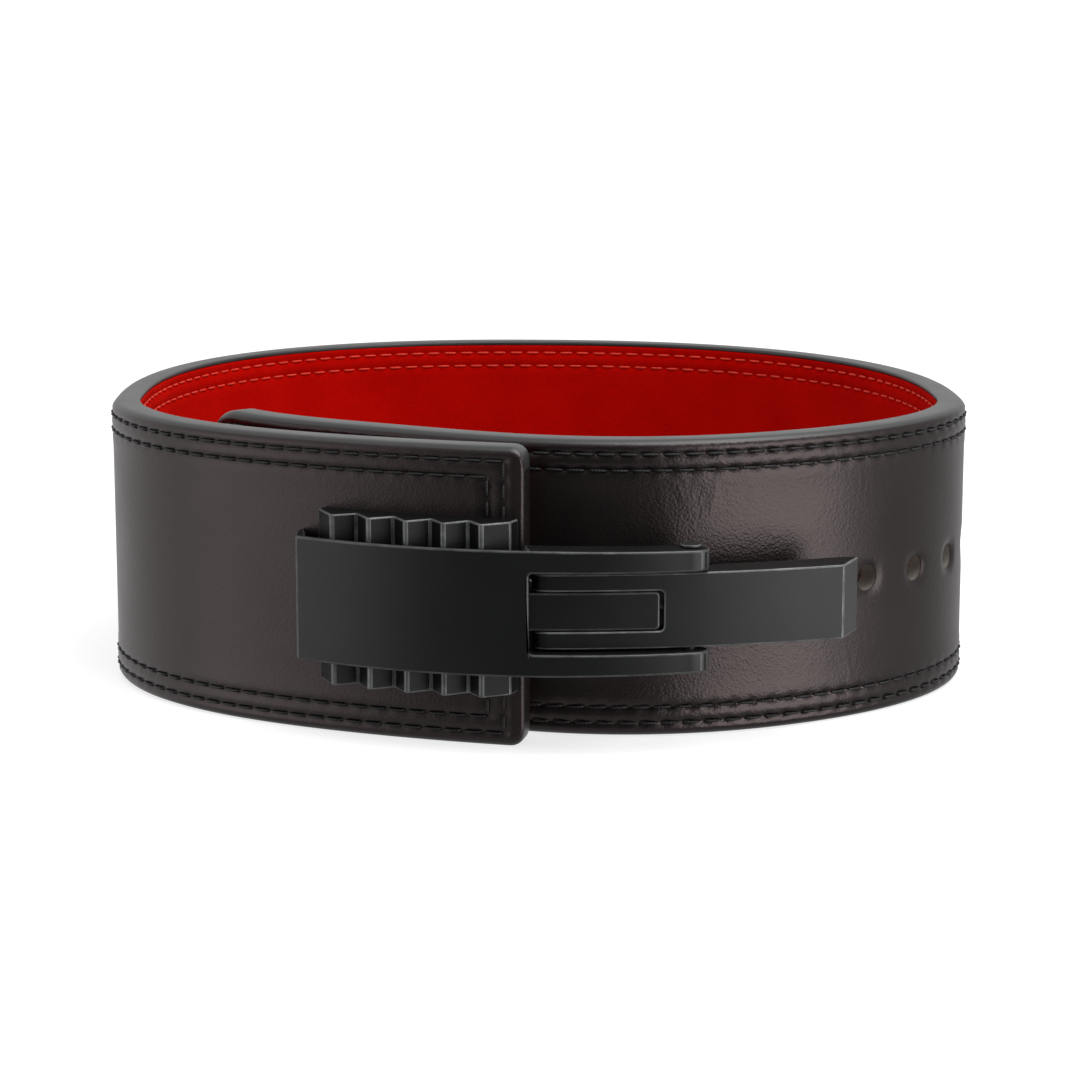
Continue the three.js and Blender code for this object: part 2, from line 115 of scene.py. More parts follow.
# Relief of the sewn leather; each puff is its distance from the edge, its height and its spread
GROOVE_DEPTH = 0.26
GROOVE_SPREAD = 0.62
NEEDLE_DEPTH = 0.30
NEEDLE_SPREAD = 1.7
PUFFS = (
    ((SEAM_ROWS[0] + SEAM_ROWS[1]) / 2, 0.34, 1.7),
    (SEAM_ROWS[0] - 2.4, 0.16, 1.1),
    (SEAM_ROWS[1] + 2.9, 0.20, 1.9),
)
LINING_RELIEF = 0.75

# Leather worn glossy on the right of the front, and creased most in a band inside the seams
WORN_X = 70.0
WORN_REACH = 38.0
CREASED_ROW = 19.0
CREASED_REACH = 7.0

# Buckle
LEVER_RADIUS = 293.0
LEVER_STAND = 10.4
LEVER_MIDDLE_RIGHT = 2.2
PIVOT_X = 3.0
HINGE_X = 50.3
HINGE_DEPTH = 3.1
HOOK_LEFT, HOOK_RIGHT, HOOK_OFFSET = -5.6, 40.3, 2.7
HOOK_HEIGHT = 12.6
SLOT_END = 41.6
SLOT_HEIGHT = 13.2
WINDOW_HEIGHT = 26.5
WINDOW_FROM_FLAP = 1.7
HOOK_SEARCH = (60.0, 0.28)

# Softening of the buckle's solids
WELD_REACH = 0.24
FLAT_ANGLE = 0.4
ROLLED_ANGLE = 24.0
ROLL_SEGMENTS = 3
PIN_REACH = 2.7
CORNER_REACH = (0.8, 0.4)
THROUGH_LENGTH = 0.5
CORNER_SEGMENTS = 6

# Cap screws, by radius
SCREW_HEAD = 5.6
SCREW_SHANK = 4.3
SCREW_FOOT = 6.4
SCREW_TIP = 0.01

# Camera in the ring's own millimetres and degrees, and the point in metres that the lights face
CAMERA_AT = (1.5, -1085.0, 254.0)
CAMERA_PITCH = 10.9
CAMERA_LENS = 100.0
LIT_POINT = (0.0, 0.0, 0.05)


def ease(t):
    """Smooth step: six t to the fifth, less fifteen t to the fourth, plus ten t cubed, held at 0 and 1."""
    u = np.clip(t, 0.0, 1.0)
    return u ** 3 * (u * (6 * u - 15) + 10)


def bell(d, spread):
    """Bell curve of height one: e to the power of less the square of d over spread."""
    return np.exp(-(d / spread) ** 2)


def ring_line(angle):
    """Plan points of the band's middle line: the radius of a rounded oval, less a smooth inward
    drift towards the tongue, plus an outward lift that grows as a square towards the flap end and
    a bulge at the back that follows a squared cosine."""
    a = np.radians(angle)
    c, s = np.cos(a), np.sin(a)
    reach = np.where(s > 0, RING_REACH["back"], RING_REACH["front"])
    power = np.where(s > 0, RING_POWER["back"], RING_POWER["front"])
    oval = (np.abs(c) / RING_HALF_WIDTH) ** power + (np.abs(s) / reach) ** power
    drift = TONGUE_DRIFT * ease((TONGUE_BEND_START - angle) / TONGUE_BEND_SPAN)
    lift = np.maximum(0.0, (angle - FLAP_END_ANGLE + FLAP_LIFT_SPAN) / FLAP_LIFT_SPAN)
    turn = np.minimum(1.0, np.abs(angle - BACK_BULGE_ANGLE) / BACK_BULGE_SPAN)
    bulge = BACK_BULGE * np.cos(turn * np.pi / 2) ** 2
    r = oval ** (-1 / power) - drift + FLAP_LIFT * lift ** 2 + bulge
    return RING_MIDDLE[0] + r * c, RING_MIDDLE[1] + r * s


LINE_X, LINE_Y = ring_line(np.linspace(TONGUE_TIP_ANGLE, FLAP_END_ANGLE, 4381))
LINE_S = np.concatenate([[0.0], np.cumsum(np.hypot(np.diff(LINE_X), np.diff(LINE_Y)))])
STRAP_LENGTH = LINE_S[-1]
LINE_TX = np.gradient(LINE_X, LINE_S)
LINE_TY = np.gradient(LINE_Y, LINE_S)


def plan_point(s, w):
    """Plan point at length s along the band and w outward of its middle line, before the shift."""
    x, y = np.interp(s, LINE_S, LINE_X), np.interp(s, LINE_S, LINE_Y)
    tx, ty = np.interp(s, LINE_S, LINE_TX), np.interp(s, LINE_S, LINE_TY)
    n = np.hypot(tx, ty)
    return x + w * ty / n, y - w * tx / n


def length_at_x(x, first, last):
    """Length along the band at which its outer face stands at x, read off that face's own line."""
    s = np.linspace(first, last, 4000)
    return float(np.interp(x, plan_point(s, HALF)[0], s))


FLAP_END = plan_point(STRAP_LENGTH, HALF)
LEVER_MIDDLE = (PIVOT_X + LEVER_MIDDLE_RIGHT, FLAP_END[1] - LEVER_STAND + LEVER_RADIUS)
HINGE_Y = LEVER_MIDDLE[1] - math.sqrt(LEVER_RADIUS ** 2 - (HINGE_X - LEVER_MIDDLE[0]) ** 2) + HINGE_DEPTH
HINGE_AT = next(j["pos_m"] for j in frame["record"]["behaviour"]["joints"] if j["name"] == "frame_swing")
SHIFT = (HINGE_AT[0] / MM - HINGE_X, HINGE_AT[1] / MM - HINGE_Y)
PINS = [[c / MM for c in j["pos_m"][:2]] for j in frame["record"]["behaviour"]["joints"]]
HOOK_MIDDLE = (HOOK_LEFT + HOOK_RIGHT) / 2 + HOOK_OFFSET
HOOK_S = length_at_x(HOOK_MIDDLE, HOOK_SEARCH[0], STRAP_LENGTH * HOOK_SEARCH[1])
HOLES = HOOK_S + (np.arange(HOLE_COUNT) + 1 - HOOK_HOLE) * HOLE_PITCH


def band_point(s, w, z):
    """Point in metres at length s along the band, w outward of its middle line and z up."""
    x, y = plan_point(s, w)
    return np.stack([(x + SHIFT[0]) * MM, (y + SHIFT[1]) * MM, z * MM], axis=-1)


def quarter_drop(d, radius):
    """How far a quarter round is drawn in at distance d from its end: radius less the circle's height."""
    return radius - np.sqrt(np.maximum(0.0, radius ** 2 - np.maximum(0.0, radius - d) ** 2))


def end_drop(s):
    """How far the upper and lower edges are drawn in near the rounded corners of both ends."""
    return np.maximum(quarter_drop(s, TONGUE_CORNER), quarter_drop(STRAP_LENGTH - s, FLAP_CORNER))


# Meshes from arrays

def mesh_object(name, points, faces, body, uv=None, masks=None, sharp=40.0):
    """New object from an array of points and arrays of faces, smooth but for edges over sharp."""
    used = np.zeros(len(points), bool)
    used[np.concatenate([np.ravel(f) for f in faces])] = True
    place = np.cumsum(used) - 1
    mesh = bpy.data.meshes.new(name)
    corner = np.concatenate([np.ravel(place[f]) for f in faces]).astype(np.int32)
    sizes = np.concatenate([np.full(len(f), f.shape[1]) for f in faces])
    mesh.vertices.add(int(used.sum()))
    mesh.vertices.foreach_set("co", np.ravel(points[used]).astype(np.float32))
    mesh.loops.add(len(corner))
    mesh.loops.foreach_set("vertex_index", corner)
    mesh.polygons.add(len(sizes))
    mesh.polygons.foreach_set("loop_start", (np.cumsum(sizes) - sizes).astype(np.int32))
    mesh.update(calc_edges=True)
    if uv is not None:
        layer = mesh.uv_layers.new(name="along_band")
        layer.data.foreach_set("uv", np.ravel(uv[used][corner]).astype(np.float32))
    for key, value in (masks or {}).items():
        layer = mesh.attributes.new(key, "FLOAT", "POINT")
        layer.data.foreach_set("value", np.ravel(value)[used].astype(np.float32))
    mesh.update()
    mesh.polygons.foreach_set("use_smooth", np.ones(len(mesh.polygons), bool))
    mesh.set_sharp_from_angle(angle=math.radians(sharp))
    obj = bpy.data.objects.new(name, mesh)
    bpy.context.scene.collection.objects.link(obj)
    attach(obj, body)
    return obj


def plate(name, s, z, front, back, keep, body, masks):
    """Closed plate between two grids over the same (s, z): the outer face at w = front and the inner
    face at w = back. Cells that keep leaves out are holes, and every open side gets a wall."""
    n, m = s.shape
    number = np.arange(n * m).reshape(n, m)
    f, b = number, number + n * m
    i, j = np.nonzero(keep)
    faces = [
        np.stack([f[i, j], f[i + 1, j], f[i + 1, j + 1], f[i, j + 1]], 1),
        np.stack([b[i, j], b[i, j + 1], b[i + 1, j + 1], b[i + 1, j]], 1),
    ]
    framed = np.pad(keep, 1)
    for di, dj, p, q in ((-1, 0, (0, 0), (0, 1)), (1, 0, (1, 1), (1, 0)),
                         (0, -1, (1, 0), (0, 0)), (0, 1, (0, 1), (1, 1))):
        open_side = keep & ~framed[1 + di:1 + di + keep.shape[0], 1 + dj:1 + dj + keep.shape[1]]
        i, j = np.nonzero(open_side)
        p0, q0 = (i + p[0], j + p[1]), (i + q[0], j + q[1])
        faces.append(np.stack([f[p0], f[q0], b[q0], b[p0]], 1))
    points = np.concatenate([band_point(s, front, z).reshape(-1, 3), band_point(s, back, z).reshape(-1, 3)])
    uv = np.stack([s, z], -1).reshape(-1, 2) * MM
    masks = {k: np.concatenate([np.ravel(v[0]), np.ravel(v[1])]) for k, v in masks.items()}
    return mesh_object(name, points, faces, body, np.concatenate([uv, uv]), masks)


def even(first, last, step):
    """Evenly spaced values from first to last, no further apart than step."""
    return np.linspace(first, last, int(math.ceil((last - first) / step)) + 1)


def thin_out(values, least=0.05):
    """Sorted values with near repeats left out."""
    values = np.sort(np.asarray(values))
    return values[np.concatenate([[True], np.diff(values) > least])]


def band_stations(first, last, ends):
    """Lengths at which the band is cut: close at both ends, a whole number of cells per hole pitch
    along the row of holes, and a third of a stitch elsewhere."""
    cell = HOLE_PITCH / HOLE_CELLS
    row = HOLES[0] + cell * np.arange(-ROW_CELLS, HOLE_CELLS * (HOLE_COUNT - 1) + ROW_CELLS + 1)
    turn = 1 - np.cos(np.radians(np.arange(0, 91, 7.5)))
    near = np.concatenate([
        first + ends[0] * turn, last - ends[1] * turn,
        first + END_EDGE * turn, last - END_EDGE * turn,
    ])
    rest = np.concatenate([
        even(first + ends[0], row[0], SEAM_STEP), even(row[-1], last - ends[1], SEAM_STEP),
    ])
    near = near[(near < row[0] - 0.5) | (near > row[-1] + 0.5)]
    return thin_out(np.concatenate([near, row, rest]))


def middle_heights():
    """Heights of the grid lines between the seams: wide steps, and close ones through the holes."""
    strip = HARDWARE_HEIGHT + HOLE_PITCH / HOLE_CELLS * np.arange(-STRIP_CELLS, STRIP_CELLS + 1)
    below = even(SEAM_LINES[-1], strip[0], PLAIN_STEP)
    above = even(strip[-1], BELT_WIDTH - SEAM_LINES[-1], PLAIN_STEP)
    return np.concatenate([below, strip, above])


def round_holes(s, z, radius):
    """Turn the square rings of grid lines about each hole into circles: a point's distance goes to the
    ring's own radius at the hole and eases back to its square place a few rings out. Returns the
    moved grids, the cells to keep and the distance outside the nearest hole's edge."""
    cell = HOLE_PITCH / HOLE_CELLS
    s, z = s.copy(), z.copy()
    keep = np.ones((s.shape[0] - 1, s.shape[1] - 1), bool)
    outside = np.full(s.shape, 99.0)
    for hole in HOLES:
        ds, dz = s - hole, z - HARDWARE_HEIGHT
        ring = np.maximum(np.abs(ds), np.abs(dz)) / cell
        reach = np.hypot(ds, dz)
        near = (ring < HOLE_RING + EASED_RINGS) & (reach > 1e-6)
        round_reach = radius + (ring - HOLE_RING) * cell * RING_SQUEEZE
        blend = ease((ring - HOLE_RING) / EASED_RINGS)
        moved = round_reach * (1 - blend) + reach * blend
        factor = np.where(near, moved / np.maximum(reach, 1e-6), 1.0)
        s, z = hole + ds * factor, HARDWARE_HEIGHT + dz * factor
        outside = np.minimum(outside, np.where(near, reach * factor - radius, 99.0))
        corners = (ring[1:, 1:], ring[:-1, 1:], ring[1:, :-1], ring[:-1, :-1])
        keep &= np.maximum.reduce(corners) > HOLE_RING + 0.01
    return s, z, keep, outside


def dimple(outside):
    """How far the skin sinks near a hole: e to the power of less the distance over its reach."""
    return np.exp(-np.maximum(outside, 0) / DIMPLE_REACH)


def border(s, z):
    """Distance from the sewn outline: the nearest of the lower and upper edge, the flap end less its
    own seam shift and the tongue's end, with the tongue's corners rounded. Also says where the flap
    end is nearer than the edges."""
    edge = np.minimum(z, BELT_WIDTH - z)
    flap = STRAP_LENGTH - FLAP_SEAM_SHIFT - s
    corner = np.hypot(np.maximum(0.0, TONGUE_CORNER - s), np.maximum(0.0, TONGUE_CORNER - edge))
    in_corner = (s < TONGUE_CORNER) & (edge < TONGUE_CORNER)
    tongue = np.where(in_corner, TONGUE_CORNER - corner, np.minimum(edge, s))
    return np.minimum(np.minimum(edge, flap), tongue), flap < edge


def seam_relief(s, z, depth=1.0):
    """Height of sewn leather in millimetres: a groove along each row of stitches, pinched deeper at
    the needle holes by a raised cosine squared, and bell-shaped puffs between and beside the rows."""
    e, at_flap = border(s, z)
    height = np.zeros_like(e)
    for row in SEAM_ROWS:
        run = np.where(at_flap, z - row, STRAP_LENGTH - FLAP_SEAM_SHIFT - row - s)
        pinch = (0.5 + 0.5 * np.cos(2 * np.pi * run / SEAM_PITCH)) ** 2
        height -= (GROOVE_DEPTH + NEEDLE_DEPTH * pinch) * bell(e - row, GROOVE_SPREAD)
        height -= NEEDLE_DEPTH * pinch * bell(e - row, NEEDLE_SPREAD)
    for middle, rise, spread in PUFFS:
        height += rise * bell(e - middle, spread)
    return depth * height


def seam_mask(s, z, spread):
    """One along each row of stitches, falling off as a bell curve to both sides; it places the painted
    groove shade.
    """
    e = border(s, z)[0]
    return sum(bell(e - row, spread) for row in SEAM_ROWS)


def leather_band():
    """The band: its outer face stands half the thickness out from the middle line, less a quarter
    circle at every edge, plus the seam relief eased in from the edge, less a dimple at each hole. Its
    inner face stands as far in, less smaller quarter circles, with a level bed for the lining."""
    edge = OUTER_EDGE * (1 - np.cos(np.radians(np.arange(0, 91, 15))))
    rim = [0.0, 0.12, 0.4, INNER_EDGE, LINING_RIM - 0.02, LINING_RIM + 0.02]
    low = np.concatenate([edge, rim, SEAM_LINES])
    z = thin_out(np.concatenate([low, BELT_WIDTH - low, middle_heights()]), LEAST_STEP)
    s = band_stations(0.0, STRAP_LENGTH, (TONGUE_CORNER, FLAP_CORNER))
    s, z = np.meshgrid(s, z, indexing="ij")
    s, z, keep, outside = round_holes(s, z, HOLE_RADIUS)
    roll = quarter_drop(np.minimum(s, STRAP_LENGTH - s), END_EDGE)
    drop = end_drop(s) + roll
    e = np.minimum(z, BELT_WIDTH - z)
    share = np.clip((z - OUTER_EDGE) / (BELT_WIDTH - 2 * OUTER_EDGE), 0, 1)
    height = z + drop * (1 - 2 * share)
    soft = ease((e - 0.6) / 2.4)
    front = HALF - roll - quarter_drop(e, OUTER_EDGE) + soft * seam_relief(s, z)
    front = front - HOLE_DIMPLE * dimple(outside)
    inside = -HALF + roll + quarter_drop(e, INNER_EDGE)
    from_end = np.minimum(s, STRAP_LENGTH - s)
    bed = (e > LINING_RIM) & (from_end > LINING_END_MARGIN - LINING_GAP)
    back = np.where(bed, -HALF + LINING_THICKNESS + LINING_GAP, inside)
    rim_mask = 1 - ease((e - 0.2) / 2.0)
    x = band_point(s, front, z)[..., 0] / MM
    wear = np.where(s < STRAP_LENGTH / 2, bell(x - WORN_X, WORN_REACH), 0.0)
    at_hole = np.where(outside < BORE_REACH, 1.0, 0.0)
    none = np.zeros_like(s)
    masks = {
        "wear": (wear, none),
        "crease": (wear * bell(e - CREASED_ROW, CREASED_REACH), none),
        "rim": (rim_mask, 1 - at_hole),
        # seam: where painted shade darkens the stitch grooves and the leather is glossier
        "seam": (seam_mask(s, z, 0.8), none),
        "bore": (none, at_hole),
    }
    piece = plate("band_leather", s, height, front, back, keep, "strap", masks)
    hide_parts("leather_band")
    return piece


def split_finishes(obj, mask, first, second):
    """Give the faces whose mask is over a half the second finish, and the others the first."""
    mesh = obj.data
    value = np.empty(len(mesh.vertices), np.float32)
    mesh.attributes[mask].data.foreach_get("value", value)
    corner = np.empty(len(mesh.loops), np.int32)
    mesh.loops.foreach_get("vertex_index", corner)
    mesh.materials.clear()
    mesh.materials.append(first)
    mesh.materials.append(second)
    second_share = value[corner].reshape(-1, 4).mean(1)
    mesh.polygons.foreach_set("material_index", (second_share > 0.5).astype(np.int32))


def suede_lining():
    """The lining: a thin skin in the band's bed. Its inner face stands half the band's thickness in
    from the middle line, less a flattened quarter circle at its edges and the seam relief's share,
    and is drawn in by a dimple at each hole. Its hidden face is level."""
    low = np.array([0.0, 0.25, 0.6, 1.2])
    first, last = LINING_END_MARGIN, STRAP_LENGTH - LINING_END_MARGIN
    foot = LINING_RIM + LINING_GAP
    z = thin_out(np.concatenate([
        foot + low, BELT_WIDTH - foot - low, SEAM_LINES, BELT_WIDTH - SEAM_LINES, middle_heights(),
    ]), LEAST_STEP)
    s = band_stations(first, last, (TONGUE_CORNER, FLAP_CORNER))
    s, z = np.meshgrid(s, z, indexing="ij")
    s, z, keep, outside = round_holes(s, z, LINING_HOLE_RADIUS)
    share = (z - foot) / (BELT_WIDTH - 2 * foot)
    height = z + end_drop(s) * (1 - 2 * share)
    e = np.minimum(z - foot, BELT_WIDTH - foot - z)
    back = -HALF + quarter_drop(e, 0.5) * 0.6 - seam_relief(s, z, LINING_RELIEF)
    back = back + LINING_DIMPLE * dimple(outside)
    front = np.full_like(s, -HALF + LINING_THICKNESS)
    back = np.minimum(back, front - 0.2)
    none = np.zeros_like(s)
    masks = {
        # seam: where painted shade darkens the sewn lines on the lining's inner face
        "seam": (none, seam_mask(s, z, 0.9)),
        "bore": (np.where(outside < BORE_REACH, 1.0, 0.0), none),
    }
    piece = plate("lining_suede", s, height, front, back, keep, "strap", masks)
    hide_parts("suede_lining")
    return piece


def seam_path(row):
    """Line of one row of stitches as (s, z): from the lower flap corner along the band, round the
    tongue's corners and back to the upper flap corner, then down the flap end."""
    far = STRAP_LENGTH - FLAP_SEAM_SHIFT - row
    turn = np.radians(np.linspace(0, 90, 10))
    r = TONGUE_CORNER - row
    lower = np.stack([TONGUE_CORNER - r * np.sin(turn), TONGUE_CORNER - r * np.cos(turn)], 1)
    upper = np.stack([lower[::-1, 0], BELT_WIDTH - lower[::-1, 1]], 1)
    long_way = np.concatenate([[[far, row]], lower, upper, [[far, BELT_WIDTH - row]]])
    return long_way, np.array([[far, BELT_WIDTH - row], [far, row]])


def stitch_places(row):
    """Middles and directions of the stitches of one row, spaced evenly along each stretch."""
    middles, ways = [], []
    for path in seam_path(row):
        step = np.hypot(*np.diff(path, axis=0).T)
        run = np.concatenate([[0.0], np.cumsum(step)])
        count = int(round(run[-1] / SEAM_PITCH))
        at = (np.arange(count) + 0.5) * run[-1] / count
        behind, middle, ahead = (
            np.stack([np.interp(place, run, path[:, k]) for k in (0, 1)], 1)
            for place in (np.maximum(at - 1.0, 0.0), at, np.minimum(at + 1.0, run[-1]))
        )
        way = ahead - behind
        middles.append(middle)
        ways.append(way / np.linalg.norm(way, axis=1, keepdims=True))
    return np.concatenate(middles), np.concatenate(ways)


def stitches(name, side, surface, length, radius):
    """Rows of thread: each stitch is a tube that rises above the leather as a power of the cosine
    along its length and dips into the needle holes, its radius the square root of one less the
    fourth power of the place along it. side is +1 outside and -1 inside."""
    middle, way = (np.concatenate(part) for part in zip(*(stitch_places(row) for row in SEAM_ROWS)))
    a = np.linspace(-0.5, 0.5, 9)[None, :, None]
    b = np.radians(np.arange(0, 360, 60))[None, None, :]
    r = radius * (1 - (2 * np.abs(a)) ** 4) ** 0.5 * 0.8 + 0.12 * radius
    rise = STITCH_RISE * np.cos(np.pi * a) ** 0.6 * radius / THREAD_RADIUS
    lift = surface + side * (rise - STITCH_SINK)
    ds, dz = way[:, 0, None, None], way[:, 1, None, None]
    across = side * r * np.cos(b)
    s = middle[:, 0, None, None] + a * length * ds - across * dz
    z = middle[:, 1, None, None] + a * length * dz + across * ds
    w = lift + side * r * np.sin(b) * THREAD_FLATNESS + 0 * s
    points = band_point(s, w, z).reshape(-1, 3)
    count, rings, sides = s.shape
    number = np.arange(count * rings * sides).reshape(count, rings, sides)
    after = np.roll(number, -1, axis=2)
    tube = np.stack([number[:, :-1], after[:, :-1], after[:, 1:], number[:, 1:]], -1).reshape(-1, 4)
    caps = np.concatenate([number[:, 0, ::-1], number[:, -1, :]])
    run = np.broadcast_to(a * length, s.shape)
    turn = np.broadcast_to(b / (2 * np.pi), s.shape)
    uv = np.stack([run, turn], -1).reshape(-1, 2) * MM
    return mesh_object(name, points, [tube, caps], "strap", uv, sharp=80.0)


def round_corners(work, corners):
    """Round the edges that run through the thickness at the given places: (x, z, radius) in mm."""
    for x, z, radius in corners:
        edges = [
            e for e in work.edges
            if all(abs(v.co.x / MM - x) < CORNER_REACH[0] for v in e.verts)
            and all(abs(v.co.z / MM - z) < CORNER_REACH[1] for v in e.verts)
            and abs(e.verts[0].co.y - e.verts[1].co.y) > THROUGH_LENGTH * MM
        ]
        if edges:
            bmesh.ops.bevel(work, geom=edges, offset=radius * MM, offset_type="OFFSET",
                            segments=CORNER_SEGMENTS, profile=0.5, affect="EDGES")


def softened(name, node, body, width, coats, corners):
    """The node's own solid as clean faces, with given corners rounded and its edges rolled over, but
    for the small edges about the two pins. Faces take the first coat and rolled edges the second."""
    mesh = frame["nodes"][node].data.copy()
    mesh.name = name
    work = bmesh.new()
    work.from_mesh(mesh)
    bmesh.ops.remove_doubles(work, verts=work.verts, dist=WELD_REACH * MM)
    bmesh.ops.dissolve_limit(
        work, angle_limit=math.radians(FLAT_ANGLE), verts=work.verts, edges=work.edges)
    round_corners(work, corners)
    rolled = work.edges.layers.float.new("bevel_weight_edge")
    for edge in work.edges:
        edge.smooth = True
        if len(edge.link_faces) == 2 and edge.calc_face_angle(0.0) > math.radians(ROLLED_ANGLE):
            at_pin = any(
                all(math.hypot(v.co.x / MM - x, v.co.y / MM - y) < PIN_REACH for v in edge.verts)
                for x, y in PINS
            )
            edge[rolled] = 0.0 if at_pin else 1.0
            edge.smooth = not at_pin
    work.to_mesh(mesh)
    work.free()
    mesh.materials.clear()
    for coat in coats:
        mesh.materials.append(coat)
    mesh.polygons.foreach_set("material_index", np.zeros(len(mesh.polygons), np.int32))
    obj = bpy.data.objects.new(name, mesh)
    bpy.context.scene.collection.objects.link(obj)
    bevel = obj.modifiers.new("rolled edges", "BEVEL")
    bevel.width = width * MM
    bevel.segments = ROLL_SEGMENTS
    bevel.limit_method = "WEIGHT"
    bevel.use_clamp_overlap = False
    bevel.material = 1
    mesh.polygons.foreach_set("use_smooth", np.ones(len(mesh.polygons), bool))
    even_light = obj.modifiers.new("even shading", "WEIGHTED_NORMAL")
    even_light.keep_sharp = True
    done = bpy.data.meshes.new_from_object(obj.evaluated_get(bpy.context.evaluated_depsgraph_get()))
    obj.modifiers.clear()
    obj.data = done
    done.name = name
    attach(obj, body)
    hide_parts(node)
    return obj


def screws(name, holes, outer, inner):
    """Cap screws through holes of the band: a round outline turned about each hole's own line, from
    the domed head outside through the shank to the flat head inside."""
    head = np.radians(np.linspace(0, 90, 7))
    dome = np.stack([SCREW_HEAD * np.sin(head), HALF + outer * np.cos(head)], 1)
    outline = np.concatenate([
        [(SCREW_TIP, HALF + outer)], dome[1:], [(SCREW_HEAD, HALF - 0.3)],
        [(SCREW_SHANK, HALF - 0.4), (SCREW_SHANK, -HALF + 0.4)],
        [(SCREW_FOOT, -HALF + 0.3), (SCREW_FOOT, -HALF - inner + 0.3)],
        [(SCREW_FOOT - 0.3, -HALF - inner), (SCREW_TIP, -HALF - inner)],
    ])
    turn = np.radians(np.arange(0, 360, 7.5))
    s = holes[:, None, None] + outline[None, :, :1] * np.cos(turn)[None, None, :]
    z = HARDWARE_HEIGHT + outline[None, :, :1] * np.sin(turn)[None, None, :] + 0 * s
    w = outline[None, :, 1:] + 0 * s
    number = np.arange(s.size).reshape(s.shape)
    after = np.roll(number, -1, axis=2)
    skin = np.stack([number[:, :-1], number[:, 1:], after[:, 1:], after[:, :-1]], -1).reshape(-1, 4)
    ends = np.concatenate([number[:, 0], number[:, -1, ::-1]])
    points = band_point(s, w, z).reshape(-1, 3)
    return mesh_object(name, points, [skin, ends], "strap", sharp=32.0)


# Finishes

def effect_group(name, inputs, outputs, build):
    """A shader node group with named inputs and outputs; build adds its nodes and links."""
    group = bpy.data.node_groups.new(name, "ShaderNodeTree")
    for key, kind, value in inputs:
        item = group.interface.new_socket(name=key, in_out="INPUT", socket_type=kind)
        if value is not None:
            item.default_value = value
    for key, kind in outputs:
        group.interface.new_socket(name=key, in_out="OUTPUT", socket_type=kind)
    entry = group.nodes.new("NodeGroupInput")
    leave = group.nodes.new("NodeGroupOutput")
    build(group, entry, leave)
    return group


def add(tree, kind, **values):
    """New node; keys with a capital are sockets, the others are properties."""
    node = tree.nodes.new(kind)
    for key, value in values.items():
        if key[0].isupper():
            node.inputs[key].default_value = value
        else:
            setattr(node, key, value)
    return node


def math_node(tree, operation, a, b=None):
    """Math node whose two inputs are numbers or sockets."""
    node = tree.nodes.new("ShaderNodeMath")
    node.operation = operation
    for index, value in enumerate((a, b)):
        if value is None:
            continue
        if isinstance(value, (int, float)):
            node.inputs[index].default_value = value
        else:
            tree.links.new(value, node.inputs[index])
    return node.outputs[0]


def times(tree, a, b):
    """Product of two numbers or sockets."""
    return math_node(tree, "MULTIPLY", a, b)


def plus(tree, a, b):
    """Sum of two numbers or sockets."""
    return math_node(tree, "ADD", a, b)


def ramp(tree, source, low, high, at_low, at_high):
    """Smooth step of a socket's value: at_low where it is low, at_high where it is high."""
    node = add(tree, "ShaderNodeMapRange", interpolation_type="SMOOTHSTEP")
    for index, value in enumerate((low, high, at_low, at_high), 1):
        node.inputs[index].default_value = value
    tree.links.new(source, node.inputs[0])
    return node.outputs[0]


def mix_colour(tree, factor, a, b):
    """Mix of two colours, each a socket or a plain colour."""
    node = tree.nodes.new("ShaderNodeMix")
    node.data_type = "RGBA"
    for index, value in ((0, factor), (6, a), (7, b)):
        if isinstance(value, (int, float)):
            node.inputs[index].default_value = value
        elif isinstance(value, tuple):
            node.inputs[index].default_value = (*value, 1.0)
        else:
            tree.links.new(value, node.inputs[index])
    return node.outputs[2]


def build_mottle(tree, entry, leave):
    """Slow colour drift: noise at one size, spread over the range asked for."""
    noise = add(tree, "ShaderNodeTexNoise", Detail=3.0, Roughness=0.55)
    tree.links.new(entry.outputs["Vector"], noise.inputs["Vector"])
    tree.links.new(entry.outputs["Scale"], noise.inputs["Scale"])
    centred = math_node(tree, "SUBTRACT", noise.outputs["Fac"], 0.5)
    spread = times(tree, centred, entry.outputs["Spread"])
    tree.links.new(plus(tree, spread, 0.5), leave.inputs["Mask"])


def build_grain(tree, entry, leave):
    """Leather grain: small rounded cells with pores between them, over a slower noise."""
    cells = add(tree, "ShaderNodeTexVoronoi", feature="SMOOTH_F1", Smoothness=0.35, Randomness=1.0)
    slow = add(tree, "ShaderNodeTexNoise", Detail=4.0, Roughness=0.6)
    scale = math_node(tree, "DIVIDE", 1.0, entry.outputs["Cell"])
    for node, factor in ((cells, 1.0), (slow, 0.35)):
        tree.links.new(entry.outputs["Vector"], node.inputs["Vector"])
        tree.links.new(times(tree, scale, factor), node.inputs["Scale"])
    rounded = times(tree, cells.outputs["Distance"], 0.5)
    height = plus(tree, rounded, times(tree, slow.outputs["Fac"], 0.6))
    tree.links.new(times(tree, height, entry.outputs["Depth"]), leave.inputs["Height"])
    tree.links.new(height, leave.inputs["Mask"])


